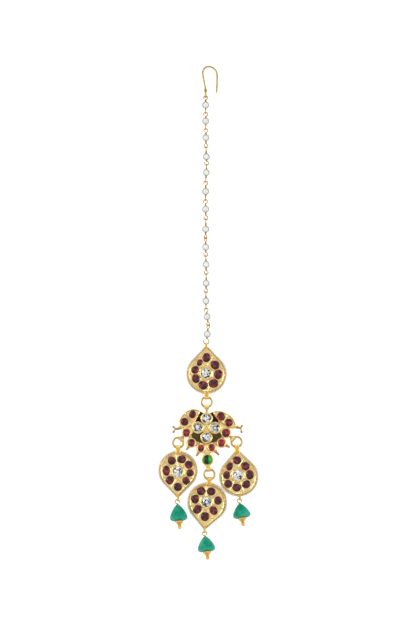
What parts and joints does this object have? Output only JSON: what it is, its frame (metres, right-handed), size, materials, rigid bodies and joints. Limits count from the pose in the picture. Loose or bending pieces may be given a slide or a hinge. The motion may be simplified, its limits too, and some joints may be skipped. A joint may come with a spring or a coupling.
{
  "type": "maang tikka",
  "caption": "Forehead jewel lying face up: wire hook, pearl chain, gold drops with red stones and seed pearl borders, a winged centre piece and green bead drops.",
  "frame": {"origin": "middle of the jewel's footprint, on the surface that it lies on", "axes": "+X to the right and +Y up the jewel from its bead drops to its hook as its wearer's front shows it, +Z out of its face"},
  "size_m": [0.042, 0.2072, 0.0074],
  "materials": {
    "gold": "polished yellow gold plate, with red stones set in it",
    "gold_wire": "polished pale gold wire",
    "pearl": "translucent white pearl",
    "seed_pearl": "small white pearls on gold wire",
    "diamond": "cut colourless stone",
    "green_stone": "polished green cabochon",
    "green_bead": "opaque polished green stone",
    "ruby": "polished dark red cabochons, set in the gold"
  },
  "bodies": {
    "root": {"centre_diamond_bottom": "diamond", "centre_diamond_left": "diamond", "centre_diamond_right": "diamond", "centre_diamond_top": "diamond", "centre_green_stone": "green_stone", "centre_setting": "gold", "hook": "gold_wire", "left_bead": "green_bead", "left_bead_cap": "gold", "left_bead_pin": "gold_wire", "left_drop_border": "seed_pearl", "left_drop_diamond": "diamond", "left_drop_setting": "gold", "middle_bead": "green_bead", "middle_bead_cap": "gold", "middle_bead_pin": "gold_wire", "middle_drop_border": "seed_pearl", "middle_drop_diamond": "diamond", "middle_drop_setting": "gold", "pearl_01": "pearl", "pearl_02": "pearl", "pearl_03": "pearl", "pearl_04": "pearl", "pearl_05": "pearl", "pearl_06": "pearl", "pearl_07": "pearl", "pearl_08": "pearl", "pearl_09": "pearl", "pearl_10": "pearl", "pearl_11": "pearl", "pearl_12": "pearl", "pearl_13": "pearl", "pearl_14": "pearl", "pin_01": "gold_wire", "pin_02": "gold_wire", "pin_03": "gold_wire", "pin_04": "gold_wire", "pin_05": "gold_wire", "pin_06": "gold_wire", "pin_07": "gold_wire", "pin_08": "gold_wire", "pin_09": "gold_wire", "pin_10": "gold_wire", "pin_11": "gold_wire", "pin_12": "gold_wire", "pin_13": "gold_wire", "pin_14": "gold_wire", "right_bead": "green_bead", "right_bead_cap": "gold", "right_bead_pin": "gold_wire", "right_drop_border": "seed_pearl", "right_drop_diamond": "diamond", "right_drop_setting": "gold", "ring_bottom": "gold_wire", "ring_left": "gold_wire", "ring_right": "gold_wire", "ring_top": "gold_wire", "upper_drop_border": "seed_pearl", "upper_drop_diamond": "diamond", "upper_drop_setting": "gold"}
  },
  "joints": []
}
